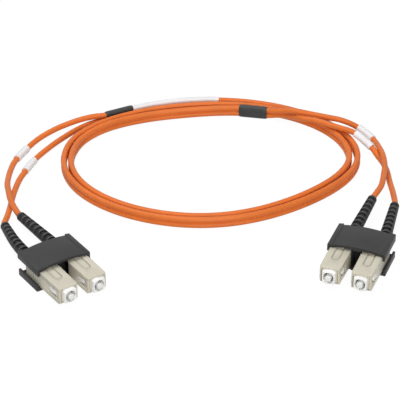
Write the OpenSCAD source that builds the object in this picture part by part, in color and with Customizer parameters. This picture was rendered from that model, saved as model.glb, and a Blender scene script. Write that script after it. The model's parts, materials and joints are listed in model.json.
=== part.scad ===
// Duplex fiber optic patch cord: two pairs of push-pull SC plugs, each pair held in a
// clip, on a two-strand cord that lies in a coil of a little over two turns.
// Millimetres, +Z up. The cord and both clips rest on z = 0.
// A plug is drawn in its own frame: X across the pair, Y rearward from the plug
// frame's front face, Z up from the ferrule's axis.

/* [Layout] */
// Place of the left pair's front, across
left_x = -44.4; // [-50:0.1:-40]
// Place of the left pair's front, forward and back
left_y = -31.3; // [-36:0.1:-26]
// Turn of the left pair about the vertical
left_turn = 34; // [30:0.5:38]
// Place of the right pair's front, across
right_x = 54.7; // [50:0.1:60]
// Place of the right pair's front, forward and back
right_y = -25; // [-30:0.1:-20]
// Turn of the right pair about the vertical
right_turn = -20.5; // [-24:0.5:-16]
// Distance between the two ferrule axes of a pair
pitch = 12.7; // [12.2:0.1:14]

/* [Plug frame] */
// Width of the inner plug frame
plug_w = 7; // [6.8:0.05:7.4]
// Height of the inner plug frame
plug_h = 5.8; // [5.7:0.05:6]
// Length of the inner plug frame
plug_len = 21; // [20.5:0.1:22]
// Bevel above and below the nose
nose_chamfer = 0.45; // [0.2:0.05:0.6]
// Bevel at the sides of the nose
nose_side_chamfer = 0.85; // [0.4:0.05:0.9]
// Corner radius of the plug frame
nose_r = 0.7; // [0.3:0.05:0.9]
// Diameter of the mouth round the ferrule
mouth_d = 4.9; // [4.5:0.05:5]
// Depth of the mouth
mouth_depth = 5.6; // [5:0.1:6]
// Thickness of the web that the flange rests on
web_t = 1; // [0.8:0.05:1.2]
// Hole in the web
web_hole_d = 4; // [3.8:0.05:4.1]
// Bore behind the web
rear_bore_d = 4.8; // [4.7:0.05:4.9]
// Depth of the latch recess in each side
latch_depth = 0.6; // [0.4:0.05:0.7]
// Length of the latch recess
latch_len = 3; // [2:0.1:4]
// Height of the lug that stops the housing
lug_proud = 0.4; // [0.3:0.05:0.5]

/* [Housing] */
// Side wall of the outer housing
side_wall = 0.9; // [0.8:0.05:1]
// Top and bottom wall of the outer housing
top_wall = 0.7; // [0.6:0.05:0.9]
// Length of the outer housing
housing_len = 24.9; // [24:0.1:26]
// Distance from the plug frame's front to the housing's
housing_setback = 1.7; // [1.3:0.1:2.1]
// Corner radius of the outer housing
housing_r = 0.45; // [0.2:0.05:0.6]
// Running clearance between housing and plug frame
slide_clear = 0.1; // [0.06:0.01:0.12]
// Travel of the push-pull release
travel = 1.6; // [1.2:0.1:1.8]
// Length of the open slot in each side wall
slot_len = 7.8; // [6.5:0.1:8.5]
// Height of the open slot in each side wall
slot_h = 3.4; // [2.6:0.1:3.8]
// Width of the key under the housing
key_w = 2.2; // [1.6:0.1:2.6]
// Height of the key under the housing
key_h = 0.75; // [0.4:0.05:0.9]
// Length of the key under the housing
key_len = 8; // [6:0.1:9]

/* [Ferrule and spring] */
// Ferrule diameter
ferrule_d = 2.5; // [2.48:0.01:2.52]
// Length of the ferrule in front of the flange
ferrule_out = 7.4; // [7:0.1:7.8]
// Length of the ferrule inside the flange
ferrule_in = 3.1; // [2.6:0.1:3.6]
// Flange diameter
flange_d = 4.5; // [4.3:0.05:4.6]
// Flange thickness
flange_t = 2; // [1.6:0.1:2.4]
// Diameter of the tube behind the flange
tube_d = 2.8; // [2.6:0.05:3]
// Length of the tube behind the flange
tube_len = 7.4; // [7:0.1:8]
// Outer diameter of the spring
spring_d = 4.2; // [4:0.05:4.3]
// Spring wire
wire_d = 0.35; // [0.3:0.05:0.4]
// Turns of the spring
spring_turns = 5.5; // [4.5:0.5:6.5]
// Length of the spring as fitted
spring_len = 6.4; // [6:0.1:7]
// How far the ferrule gives way
ferrule_travel = 1; // [0.8:0.05:1]

/* [Stop ring and crimp] */
// Diameter of the collar behind the plug frame
collar_d = 5.4; // [5:0.1:5.7]
// Thickness of the collar
collar_t = 1.2; // [0.9:0.05:1.5]
// Diameter of the post that the crimp closes on
post_d = 3.3; // [3.1:0.05:3.4]
// Length of the post
post_len = 5.3; // [5:0.1:6]
// Bore of the post
post_bore_d = 2; // [1.6:0.05:2.2]
// Wall of the crimp sleeve
crimp_wall = 0.43; // [0.3:0.01:0.45]
// Length of the crimp sleeve on the cord's jacket
crimp_tail = 2.4; // [2:0.1:2.6]

/* [Boot] */
// Diameter of the boot's collar
boot_d = 5.2; // [5.1:0.05:5.4]
// Place of the boot's tail behind the plug's front
boot_end = 61.5; // [60:0.5:64]
// Diameter of the core at the tail
boot_tail_d = 3.5; // [3.4:0.05:3.8]
// Number of ribs
rib_count = 9; // [6:1:10]
// Length of one rib
rib_len = 1.5; // [1.2:0.1:2]
// Diameter of the last rib
last_rib_d = 3.9; // [3.8:0.05:4.4]
// Radius of the bend in a boot that turns aside
bend_r = 70; // [60:1:85]

/* [Clip] */
// Thickness of the arched top plate
clip_top_t = 1.15; // [0.9:0.05:1.4]
// Rise of the arch over the clip's width
clip_crown = 1.2; // [0.6:0.1:1.6]
// Thickness of the bottom plate
clip_floor_t = 1.3; // [1.2:0.05:1.6]
// Thickness of the hanging rims
rim_t = 0.8; // [0.6:0.05:1.1]
// Height of the hanging rims, from the top corner
rim_h = 2.8; // [2.2:0.1:3.4]
// Place of the clip's front behind the plug's front
clip_front = 15.5; // [15:0.1:16.5]
// Length of the clip
clip_len = 15.2; // [14:0.1:16]
// Width of the shoulder along each side
shoulder_w = 2; // [1.6:0.1:2.6]
// How far a shoulder stands above the arch
shoulder_rise = 0.15; // [0.1:0.05:0.3]
// How far a shoulder runs past the rear edge
ear_len = 0.75; // [0.4:0.05:1.2]
// How far the bottom plate stands out at each side
floor_out = 1.25; // [0.9:0.05:1.6]
// Thickness of the lip at the bottom plate's edge
lip_t = 0.9; // [0.7:0.05:1]
// Height of the lip above the bottom plate
lip_h = 1.5; // [1:0.1:2]

/* [Cord] */
// Diameter of one jacketed strand
strand_d = 2.5; // [2.4:0.05:2.5]
// Width of one pass of the two-strand cord
lane = 2.6; // [2.55:0.05:2.7]
// Height of the two-strand cord, which stands on edge
cord_h = 5.1; // [5:0.05:5.2]
// Half of the coil's size across, to the middle of its lanes
coil_rx = 61.8; // [61.5:0.1:62]
// Half of the coil's size front to back
coil_ry = 48.5; // [48.2:0.1:48.8]
// Length of the sleeve where the cord splits, left
split_1_len = 13.2; // [12:0.1:14]
// Width of a split sleeve
split_w = 3.1; // [2.9:0.05:3.2]
// Height of a split sleeve
split_h = 5.7; // [5.5:0.05:5.9]
// Outer diameter of a strand's label
label_d = 3.2; // [3.1:0.05:3.4]
// Length of a strand's label
label_len = 7.2; // [6:0.1:7.4]
// Thickness of the long wrap label
wrap_t = 0.25; // [0.2:0.05:0.35]

/* [Hidden] */
$fn = 48;
CONNECTORS = ["left_outer", "left_inner", "right_outer", "right_inner"];
PIECES = ["housing", "plug_frame", "ferrule", "flange", "spring", "stop_ring", "crimp_sleeve", "boot",
    "buffered_fiber", "lead", "lead_label"];

assembly_clear = 0.05;   // between pieces that are pushed together
press_clear = 0.02;      // between pieces that are pressed or glued
free_clear = 0.2;        // round what only passes through

// Housing and clip
cavity_w = plug_w + 2 * slide_clear;
cavity_h = plug_h + 2 * slide_clear;
housing_w = cavity_w + 2 * side_wall;
housing_h = cavity_h + 2 * top_wall;
housing_end = housing_setback + housing_len;
clip_end = clip_front + clip_len;
web_w = pitch - housing_w - 2 * assembly_clear;
clip_in = pitch / 2 + housing_w / 2 + assembly_clear;
clip_hw = clip_in + rim_t;
axis_z = clip_floor_t + assembly_clear + housing_h / 2;
arch_r = (clip_hw * clip_hw + clip_crown * clip_crown) / (2 * clip_crown);
arch_under_r = arch_r - clip_top_t;
arch_z = housing_h / 2 + assembly_clear - sqrt(pow(arch_under_r, 2) - pow(clip_in, 2));
corner_z = arch_z + sqrt(pow(arch_r, 2) - pow(clip_hw, 2));
floor_z = -axis_z;
floor_inset = 0.5;
fingertip = [3.2, 7.6, 0.35];  // width, length and depth of the recess before the clip

// Along the plug
flange_y = mouth_depth + web_t;
ferrule_tip = flange_y - ferrule_out;
ferrule_bevel = 0.3;
tube_y = flange_y + flange_t;
spring_end = tube_y + spring_len;
latch_y = mouth_depth - 0.1;
lug_len = 2;
lug_h = 3;
lug_y = plug_len - lug_len - 2;
neck_d = ferrule_d - 0.5;
buffer_d = 0.9;
socket_len = 1;
post_y = plug_len + collar_t;
post_end = post_y + post_len;
lead_y = post_end + press_clear;
stop_depth = 3;
crimp_y = post_y + free_clear;
crimp_in_d = post_d + 2 * press_clear;
crimp_out_d = crimp_in_d + 2 * crimp_wall;
grip_in_d = strand_d + 2 * assembly_clear;
grip_out_d = grip_in_d + 2 * crimp_wall;
crimp_end = lead_y + crimp_tail;
boot_y = crimp_y + 0.6;
boot_sides = 16;
boot_flat = cos(180 / boot_sides);  // how near a flat side comes to the axis
boot_cavity_d = (crimp_out_d + 2 * press_clear) / boot_flat;
boot_bore_d = (strand_d + 0.3) / boot_flat;
boot_collar_end = clip_end + 0.8;
rib_bevel = 0.25;
buffer_end = lead_y - ferrule_travel - 0.4;

// How far each plug's boot bends behind its collar, which way (0 is to +X, 90 down),
// and the plug's side of its pair
BEND = [16, 2, 7.5, 0];
BEND_TO = [27, 90, 163, 0];
SIDE = [-1, 1, 1, -1];

// The coil: an oval of two and, at the back, three lanes
coil_c = [4.5, 69.5];
dent = 5.5;              // how far the front right of the oval is flattened
dent_at = -45;
split_1_t = 123.7;       // where on the oval the left split sleeve ends
split_2_t = [77.5, 65];  // where the right split sleeve begins and ends
wrap_t_range = [122, 87];
shift_t = [-195, -235];  // where the cord moves one lane inward
coil_step = 3;

// Routes of the four strands between the split sleeves and the boots, in round numbers.
// A label lies in the middle of the stretch between the two points that LABEL_AT names.
ROUTE = [
    [[-47, 103.5, 1.5], [-53.5, 98.5, 1.3], [-61.5, 88.5, 1.3], [-66.5, 80.5, 1.4], [-71, 71.5, 1.7],
     [-75, 60.5, 1.7], [-77.6, 55, 1.4], [-79, 48, 1.3], [-79.2, 40, 1.3], [-78.6, 32.5, 1.6],
     [-78.9, 25.5, 2]],
    [[-47, 104, 4.2], [-53.5, 101.5, 3.9], [-62, 97, 2.8], [-66, 94, 2.2], [-70.5, 89, 1.8],
     [-74.5, 82, 1.7], [-79.5, 70, 1.7], [-80.7, 63.5, 1.8], [-81.2, 54.5, 2.4], [-80.9, 48, 3.4],
     [-79.6, 41.5, 4.1], [-78.4, 36.3, 4.3], [-76.7, 30.5, 4.3]],
    [[33, 108, 2.6], [37, 106, 3.6], [41, 102.5, 4.8], [44.5, 98.6, 6.1], [48.5, 96.7, 6.7],
     [52, 94.8, 6.8], [60, 89.5, 6.8], [63.5, 86.9, 7.1], [66.8, 83.7, 7.1], [72.3, 77.3, 3.9],
     [74.9, 73.5, 2], [76.2, 68, 1.3], [77.1, 61.5, 1.3], [77.8, 53.5, 1.6], [78.8, 43, 2.9]],
    [[33, 107, 5.2], [37, 104.5, 6.8], [41, 102.5, 7.8], [48.5, 101, 7], [56.5, 98.5, 6.6],
     [60.5, 97.6, 6.2], [65.2, 96.1, 5.1], [68.9, 94.3, 3.8], [74.4, 89.3, 2], [77, 82, 2.2],
     [78, 72, 3.6], [78, 62, 4.1], [76.5, 54.5, 4.4], [74, 45, 4.8]]];
LABEL_AT = [[4, 5], [5, 6], [8, 9], [7, 8]];

// ---- Placing ----

module at_pair(right)
{
    translate([right ? right_x : left_x, right ? right_y : left_y, axis_z])
        rotate([0, 0, right ? right_turn : left_turn])
            children();
}

module at_plug(i)
{
    at_pair(i > 1)
        translate([SIDE[i] * pitch / 2, 0, 0])
            children();
}

// The same placing for a point
function turned(p, a) = [p[0] * cos(a) - p[1] * sin(a), p[0] * sin(a) + p[1] * cos(a), p[2]];
function plug_point(i, p) =
    turned([SIDE[i] * pitch / 2, 0, axis_z] + p, i > 1 ? right_turn : left_turn)
    + [i > 1 ? right_x : left_x, i > 1 ? right_y : left_y, 0];

// ---- Shapes ----

// A flat outline in X and Z, drawn out along Y
module bar_y(y0, y1)
{
    translate([0, y1, 0])
        rotate([90, 0, 0])
            linear_extrude(y1 - y0)
                children();
}

module rod_y(y0, y1, d)
{
    translate([0, y0, 0])
        rotate([-90, 0, 0])
            cylinder(h = y1 - y0, d = d);
}

module cone_y(y0, y1, d0, d1)
{
    translate([0, y0, 0])
        rotate([-90, 0, 0])
            cylinder(h = y1 - y0, d1 = d0, d2 = d1);
}

module rounded_rect(w, h, r)
{
    square([w - 2 * r, h], center = true);
    square([w, h - 2 * r], center = true);
    for (x = [-1, 1], y = [-1, 1])
        translate([x * (w / 2 - r), y * (h / 2 - r)])
            circle(r);
}

// A round tube swept along a list of points
function unit(v) = v / norm(v);
function heading(p, i) = unit(p[min(i + 1, len(p) - 1)] - p[max(i - 1, 0)]);
function ring(p, i, r, sides, up) =
    let (h = heading(p, i), a = unit(cross(up, h)), b = cross(h, a))
    [for (k = [0:sides - 1]) p[i] + r * (cos(360 * k / sides) * a + sin(360 * k / sides) * b)];

module sweep(p, d, sides, up = [0, 0, 1])
{
    last = len(p) - 1;
    points = [for (i = [0:last]) each ring(p, i, d / 2, sides, up)];
    walls = [for (i = [0:last - 1]) for (k = [0:sides - 1])
        let (a = i * sides + k, b = i * sides + (k + 1) % sides)
        each [[a, a + sides, b + sides], [a, b + sides, b]]];
    start_cap = [for (k = [0:sides - 1]) k];
    end_cap = [for (k = [sides - 1:-1:0]) last * sides + k];
    polyhedron(points = points, faces = concat(walls, [start_cap, end_cap]), convexity = 6);
}

// ---- Outer housing ----

module side_slots()
{
    for (side = [-1, 1])
        translate([side * housing_w / 2, housing_setback + slot_len / 2, 0])
            cube([4 * side_wall, slot_len + press_clear, slot_h], center = true);
}

// Blind pockets inside the side walls: the lug runs in them, and their ends stop the travel
module lug_pockets()
{
    front = lug_y - travel - slide_clear;
    back = lug_y + lug_len + slide_clear;
    depth = lug_proud + slide_clear;
    translate([0, (front + back) / 2, 0])
        cube([cavity_w + 2 * depth - 2 * slide_clear, back - front, lug_h + 2 * slide_clear], center = true);
}

// A shallow recess in the top, round at the front, that runs under the clip
module fingertip_recess()
{
    r = fingertip[0] / 2;
    top = housing_h / 2;
    translate([0, clip_front - fingertip[1] + r, top - fingertip[2]]) {
        cylinder(h = 1, r = r);
        translate([-r, 0, 0])
            cube([2 * r, fingertip[1], 1]);
    }
}

module housing()
{
    color("#d5cfbe")
    difference() {
        union() {
            bar_y(housing_setback, housing_end)
                rounded_rect(housing_w, housing_h, housing_r);
            translate([-key_w / 2, housing_setback + 4, -housing_h / 2 - key_h])
                cube([key_w, key_len, key_h + top_wall / 2]);
        }
        bar_y(0, housing_end + 1)
            square([cavity_w, cavity_h], center = true);
        side_slots();
        lug_pockets();
        fingertip_recess();
    }
}

// ---- Plug frame ----

module bevel_wedge(c, length)
{
    linear_extrude(length, center = true)
        polygon([[-1, -1], [c + 1, -1], [-1, c + 1]]);
}

module nose_bevels()
{
    for (side = [-1, 1]) {
        translate([0, 0, side * plug_h / 2])
            rotate([0, side > 0 ? 90 : -90, 0])
                bevel_wedge(nose_chamfer, 2 * plug_w);
        translate([side * plug_w / 2, 0, 0])
            mirror([side > 0 ? 1 : 0, 0, 0])
                bevel_wedge(nose_side_chamfer, 2 * plug_h);
    }
}

module plug_frame()
{
    color("#f2f1ec")
    difference() {
        union() {
            bar_y(0, plug_len)
                rounded_rect(plug_w, plug_h, nose_r);
            for (side = [-1, 1])
                translate([side * plug_w / 2, lug_y + lug_len / 2, 0])
                    cube([2 * lug_proud, lug_len, lug_h], center = true);
        }
        nose_bevels();
        rod_y(-1, mouth_depth, mouth_d);
        rod_y(mouth_depth - 1, flange_y + 1, web_hole_d);
        rod_y(flange_y, plug_len + 1, rear_bore_d);
        for (side = [-1, 1])
            translate([side * plug_w / 2, latch_y + latch_len / 2, 0])
                cube([2 * latch_depth, latch_len, plug_h + 1], center = true);
    }
}

// ---- Ferrule, flange and spring: what moves on the plug's axis ----

module ferrule()
{
    color("#fbfbf8")
    difference() {
        union() {
            cone_y(ferrule_tip, ferrule_tip + ferrule_bevel, ferrule_d - 2 * ferrule_bevel, ferrule_d);
            rod_y(ferrule_tip + ferrule_bevel, flange_y, ferrule_d);
            rod_y(flange_y, flange_y + ferrule_in, neck_d);
        }
        rod_y(flange_y + ferrule_in - socket_len, flange_y + ferrule_in + 1, buffer_d + 2 * press_clear);
    }
}

module flange()
{
    bore_d = neck_d + 2 * press_clear;
    color("#c9ccd0")
    difference() {
        union() {
            rod_y(flange_y, tube_y, flange_d);
            rod_y(tube_y, tube_y + tube_len, tube_d);
        }
        rod_y(flange_y - 1, flange_y + ferrule_in + press_clear, bore_d);
        rod_y(flange_y, tube_y + tube_len + 1, buffer_d + 2 * free_clear);
        for (a = [0:90:270])
            rotate([0, a, 0])
                translate([flange_d / 2, flange_y + flange_t / 2, 0])
                    cube([0.8, flange_t + 1, 0.8], center = true);
    }
}

module spring()
{
    coil_r = (spring_d - wire_d) / 2;
    start = tube_y + wire_d / 2;
    rise = spring_len - wire_d;
    steps = ceil(spring_turns * 10);
    color("#b9bcc2")
    sweep([for (i = [0:steps])
        let (a = 360 * spring_turns * i / steps)
        [coil_r * cos(a), start + rise * i / steps, coil_r * sin(a)]], wire_d, 6, [0, 1, 0]);
}

module buffered_fiber()
{
    color("#f4f0da")
    rod_y(flange_y + ferrule_in - socket_len + press_clear, buffer_end, buffer_d);
}

// ---- Stop ring and crimp ----

module stop_ring()
{
    color("#e6d9a8")
    difference() {
        union() {
            rod_y(spring_end, plug_len, rear_bore_d - 2 * assembly_clear);
            rod_y(plug_len, post_y, collar_d);
            rod_y(post_y, post_end, post_d - 0.3);
            for (y = [post_y:0.8:post_end - 0.5])
                rod_y(y, y + 0.4, post_d);
        }
        rod_y(spring_end - 1, spring_end + stop_depth, tube_d + 2 * free_clear);
        rod_y(spring_end, post_end + 1, post_bore_d);
    }
}

module crimp_sleeve()
{
    step_y = lead_y;
    color("#c8a86a")
    difference() {
        union() {
            rod_y(crimp_y, step_y + crimp_wall, crimp_out_d);
            rod_y(step_y, crimp_end, grip_out_d);
        }
        rod_y(crimp_y - 1, step_y, crimp_in_d);
        rod_y(step_y - 1, crimp_end + 1, grip_in_d);
    }
}

// ---- Boot: a collar, then a ribbed tail with a spine down each side, that may bend ----

function bend_len(i) = bend_r * BEND[i] * PI / 180;
function boot_angle(s, i) = min(BEND[i], max(0, s - boot_collar_end) / bend_r * 180 / PI);
function bend_dir(i) = [cos(BEND_TO[i]), 0, -sin(BEND_TO[i])];
function boot_point(s, i) =
    let (a = boot_angle(s, i), past = max(0, s - boot_collar_end - bend_len(i)))
    (bend_r * (1 - cos(a)) + past * sin(a)) * bend_dir(i)
    + [0, min(s, boot_collar_end) + bend_r * sin(a) + past * cos(a), 0];

// Where the bore and the strand in it turn
function bend_stations(i) =
    let (n = ceil(BEND[i] / 6))
    n == 0 ? [] : [for (k = [0:n]) boot_collar_end + bend_len(i) * k / n];

// A ring of the boot's surface: s is its place along the boot's line, r its radius
// and side_r the radius of the spines at its sides
function boot_ring(s, r, side_r, i) =
    let (a = boot_angle(s, i), b = bend_dir(i), c = boot_point(s, i))
    [for (k = [0:boot_sides - 1])
        let (t = 360 * k / boot_sides, v = [-cos(t), 0, sin(t)])
        c + (abs(v[0]) > 0.9 ? side_r : r) * (v + (v * b) * ((cos(a) - 1) * b - [0, sin(a), 0]))];

function along_tail(s, from, to) =
    from + (to - from) * (s - boot_collar_end) / (boot_end - boot_collar_end);
function core_r(s) = along_tail(s, boot_d / 2 - 0.5, boot_tail_d / 2);
function rib_r(s) = along_tail(s, boot_d / 2, last_rib_d / 2);

function rib_profile(i) =
    let (first = boot_collar_end + 1.4,
         s = first + i * (boot_end - 0.3 - rib_len - first) / (rib_count - 1),
         e = s + rib_len,
         r = rib_r(s))
    [[s, core_r(s), r], [s + rib_bevel, r, r], [e - rib_bevel, r, r], [e, core_r(e), r]];

// Outside from the collar to the tail, then inside back to the crimp
function boot_profile(i) = concat(
    [[boot_y, boot_d / 2], [boot_collar_end, boot_d / 2],
     [boot_collar_end, core_r(boot_collar_end), boot_d / 2 - 0.1]],
    [for (k = [0:rib_count - 1]) each rib_profile(k)],
    [[boot_end, boot_tail_d / 2], [boot_end, boot_bore_d / 2]],
    [for (s = reversed(bend_stations(i))) [s, boot_bore_d / 2]],
    [[crimp_end + free_clear, boot_bore_d / 2], [crimp_end + free_clear, boot_cavity_d / 2],
     [boot_y, boot_cavity_d / 2]]);

module boot(i)
{
    profile = boot_profile(i);
    rings = len(profile);
    points = [for (p = profile) each boot_ring(p[0], p[1], len(p) > 2 ? p[2] : p[1], i)];
    walls = [for (j = [0:rings - 1]) for (k = [0:boot_sides - 1])
        let (m = (j + 1) % rings, l = (k + 1) % boot_sides,
             a = j * boot_sides + k, b = j * boot_sides + l,
             c = m * boot_sides + k, d = m * boot_sides + l)
        each [[a, c, d], [a, d, b]]];
    color("#1d1d1f")
    polyhedron(points = points, faces = walls, convexity = 12);
}

// ---- Clip ----

// The band between two arcs of the top, cut to one stretch across
module arch_band(x0, x1, rise = 0)
{
    intersection() {
        translate([0, arch_z])
            difference() {
                circle(arch_r + rise, $fn = 240);
                circle(arch_under_r, $fn = 240);
            }
        translate([x0, 0])
            square([x1 - x0, 2 * housing_h]);
    }
}

module rim_outline()
{
    intersection() {
        translate([clip_in, corner_z - rim_h])
            square([rim_t, rim_h + clip_crown]);
        translate([0, arch_z])
            circle(arch_r, $fn = 240);
    }
}

module shoulder_outline()
{
    arch_band(clip_hw - shoulder_w, clip_hw, shoulder_rise);
    rim_outline();
}

module clip()
{
    web_top = arch_z + arch_under_r;
    floor_hw = clip_in + floor_out;
    color("#4a4a4c")
    union() {
        bar_y(clip_front, clip_end)
            arch_band(-clip_hw, clip_hw);
        bar_y(clip_front, clip_end)
            translate([-web_w / 2, floor_z])
                square([web_w, web_top + clip_top_t / 2 - floor_z]);
        bar_y(clip_front + floor_inset, clip_end - floor_inset)
            translate([-floor_hw, floor_z])
                square([2 * floor_hw, clip_floor_t]);
        for (side = [0, 1])
            mirror([side, 0, 0]) {
                bar_y(clip_front, clip_end + ear_len)
                    shoulder_outline();
                bar_y(clip_front + floor_inset, clip_end - floor_inset)
                    translate([floor_hw - lip_t, floor_z])
                        square([lip_t, clip_floor_t + lip_h]);
            }
    }
}

// ---- Cord ----

function oval(t) = [coil_rx * cos(t), coil_ry * sin(t)];
function oval_dent(t) = dent * pow(max(0, cos(t - dent_at)), 4) * [cos(dent_at), sin(dent_at)];
function outward(t) = unit([coil_ry * cos(t), coil_rx * sin(t)]);
function coil_point(t, out) = coil_c + oval(t) - oval_dent(t) + out * outward(t);
function ease(x) = let (c = min(1, max(0, x))) c * c * (3 - 2 * c);
function lane_shift(t) = lane * ease((t - shift_t[0]) / (shift_t[1] - shift_t[0]));
coil_angles = [for (t = [split_1_t:-coil_step:split_1_t - 360]) t];
outer_edge = [for (t = concat(coil_angles, [split_1_t - 360])) coil_point(t, lane - lane_shift(t))];
inner_edge = concat(
    [for (t = coil_angles) if (t > split_2_t[0] + 0.2) coil_point(t, -2 * lane)],
    [coil_point(split_2_t[0] + 0.2, -2 * lane), coil_point(split_2_t[0] + 0.2, -lane)],
    [for (t = coil_angles) if (t < split_2_t[0]) coil_point(t, -lane - lane_shift(t))]);

module coiled_cord()
{
    color("#e8703a")
    linear_extrude(cord_h)
        difference() {
            polygon(outer_edge);
            polygon(inner_edge);
        }
}

// The two places that each split sleeve lies between
split_side = split_w / 2 + assembly_clear;
split_1_end = coil_point(split_1_t + 0.1, split_side);
split_1_dir = [outward(split_1_t)[1], -outward(split_1_t)[0]];
split_1_start = split_1_end - split_1_len * split_1_dir;
split_2_start = coil_point(split_2_t[0], -lane - split_side);
split_2_end = coil_point(split_2_t[1], -lane - split_side);

module split_sleeve(from, to)
{
    v = to - from;
    color("#232325")
    translate([from[0], from[1], split_h / 2])
        rotate([0, 0, atan2(v[1], v[0]) - 90])
            bar_y(0, norm(v))
                rounded_rect(split_w, split_h, split_w / 2 - 0.2);
}

module wrap_label()
{
    angles = [for (t = [wrap_t_range[0]:-coil_step:wrap_t_range[1]]) t];
    outside = [for (t = angles) coil_point(t, lane + wrap_t + press_clear)];
    edge = [for (t = angles) coil_point(t, lane + press_clear)];
    inside = [for (t = angles) coil_point(t, press_clear)];
    back = [for (i = [len(angles) - 1:-1:0]) i];
    color("#f7f7f5")
    union() {
        linear_extrude(cord_h + wrap_t)
            polygon(concat(outside, [for (i = back) edge[i]]));
        translate([0, 0, cord_h + press_clear])
            linear_extrude(wrap_t)
                polygon(concat(outside, [for (i = back) inside[i]]));
    }
}

// Start of a strand at its split sleeve: the strands stand one above the other there
function strand_start(i) =
    let (right = i > 1,
         at = right ? split_2_end : split_1_start,
         way = right ? unit(split_2_end - split_2_start) : -split_1_dir,
         z = i % 2 == 0 ? split_h / 2 - strand_d / 2 - press_clear : split_h / 2 + strand_d / 2 + press_clear)
    [[at[0], at[1], z], [at[0] + 1.5 * way[0], at[1] + 1.5 * way[1], z]];

// Its end inside the boot, from the tail to the crimp
function strand_in_boot(i) =
    [for (s = concat([lead_y], bend_stations(i), [boot_end + 2])) plug_point(i, boot_point(s, i))];
function reversed(list) = [for (i = [len(list) - 1:-1:0]) list[i]];

module lead(i)
{
    color("#e8703a")
    sweep(concat(strand_start(i), ROUTE[i], reversed(strand_in_boot(i))), strand_d, 8);
}

// A paper wrap on a straight stretch of the strand
module lead_label(i)
{
    a = ROUTE[i][LABEL_AT[i][0]];
    b = ROUTE[i][LABEL_AT[i][1]];
    v = unit(b - a);
    color("#f7f7f5")
    translate((a + b) / 2)
        rotate([0, acos(v[2]), atan2(v[1], v[0])])
            difference() {
                cylinder(h = label_len, d = label_d, center = true);
                cylinder(h = label_len + 1, d = strand_d + free_clear, center = true);
            }
}

// ---- The parts ----

for (i = [0:3]) {
    at_plug(i) housing();
    at_plug(i) plug_frame();
    at_plug(i) ferrule();
    at_plug(i) flange();
    at_plug(i) spring();
    at_plug(i) stop_ring();
    at_plug(i) crimp_sleeve();
    at_plug(i) boot(i);
    at_plug(i) buffered_fiber();
    lead(i);
    lead_label(i);
}
at_pair(false) clip();  // left_clip
at_pair(true) clip();  // right_clip
coiled_cord();
split_sleeve(split_1_start, split_1_end);  // left_split_sleeve
split_sleeve(split_2_start, split_2_end);  // right_split_sleeve
wrap_label();
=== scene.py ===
import json
import math
from functools import cache

import bmesh
import bpy
from bpy.props import FloatProperty, FloatVectorProperty, IntProperty, PointerProperty
from mathutils import Matrix, Vector

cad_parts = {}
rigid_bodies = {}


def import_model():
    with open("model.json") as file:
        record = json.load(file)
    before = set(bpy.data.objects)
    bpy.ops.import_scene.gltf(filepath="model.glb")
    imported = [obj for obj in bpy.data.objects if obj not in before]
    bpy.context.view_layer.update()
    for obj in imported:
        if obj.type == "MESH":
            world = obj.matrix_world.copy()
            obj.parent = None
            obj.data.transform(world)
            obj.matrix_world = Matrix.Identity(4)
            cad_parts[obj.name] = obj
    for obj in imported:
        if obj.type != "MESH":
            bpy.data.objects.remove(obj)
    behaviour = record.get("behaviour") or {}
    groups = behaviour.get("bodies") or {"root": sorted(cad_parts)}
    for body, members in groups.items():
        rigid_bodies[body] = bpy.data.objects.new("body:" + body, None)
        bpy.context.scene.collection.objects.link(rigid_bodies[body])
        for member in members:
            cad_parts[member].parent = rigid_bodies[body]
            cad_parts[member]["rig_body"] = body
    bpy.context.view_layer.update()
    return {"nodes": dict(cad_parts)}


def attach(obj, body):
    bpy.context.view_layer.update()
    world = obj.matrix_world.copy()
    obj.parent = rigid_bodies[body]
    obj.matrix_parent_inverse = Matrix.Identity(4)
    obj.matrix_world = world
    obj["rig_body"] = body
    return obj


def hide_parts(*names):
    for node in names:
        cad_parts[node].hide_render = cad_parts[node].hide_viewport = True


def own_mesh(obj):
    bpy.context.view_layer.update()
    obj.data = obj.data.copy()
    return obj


bl_info = {
    "name": "Duplex Patch Cord",
    "version": (1, 0, 0),
    "blender": (4, 5, 0),
    "location": "3D View > Sidebar > Patch Cord",
    "description": "Dresses a coiled two-strand fiber cord with a pair of push-pull plugs at each end",
    "category": "Object",
}

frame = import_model()

MM = 0.001
ROOT = "cord_and_plugs"
CONNECTORS = ("left_outer", "left_inner", "right_outer", "right_inner")
PAIRS = ("left", "right")

# ---- Places, in millimetres and degrees ----

# The middle of each pair's front, and the pair's turn
PAIR_PLACE = {"left": (-44.4, -31.3, 34), "right": (54.7, -25, -20.5)}
AXIS_HEIGHT = 5.05
# The side of its pair's middle that each plug is on, and how far from it
SIDE = {"left_outer": -1, "left_inner": 1, "right_outer": 1, "right_inner": -1}
PLUG_OFFSET = 6.35

# Stations along a boot, from the front of its plug
BOOT_START, BOOT_COLLAR_END, BOOT_END = 23.0, 31.5, 61.5
# How far each boot bends behind its collar, and which way: 0 is to +X of its plug, 90 down
BOOT_BEND = {"left_outer": (16, 27), "left_inner": (2, 90), "right_outer": (7.5, 163), "right_inner": (0, 0)}
BEND_RADIUS = 70.0
# Stations that a strand passes through on its way out of a boot
STRAND_STATIONS = (27.55, BOOT_COLLAR_END, 36.0, 41.0, 46.0, 51.0, BOOT_END, BOOT_END + 1)

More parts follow.
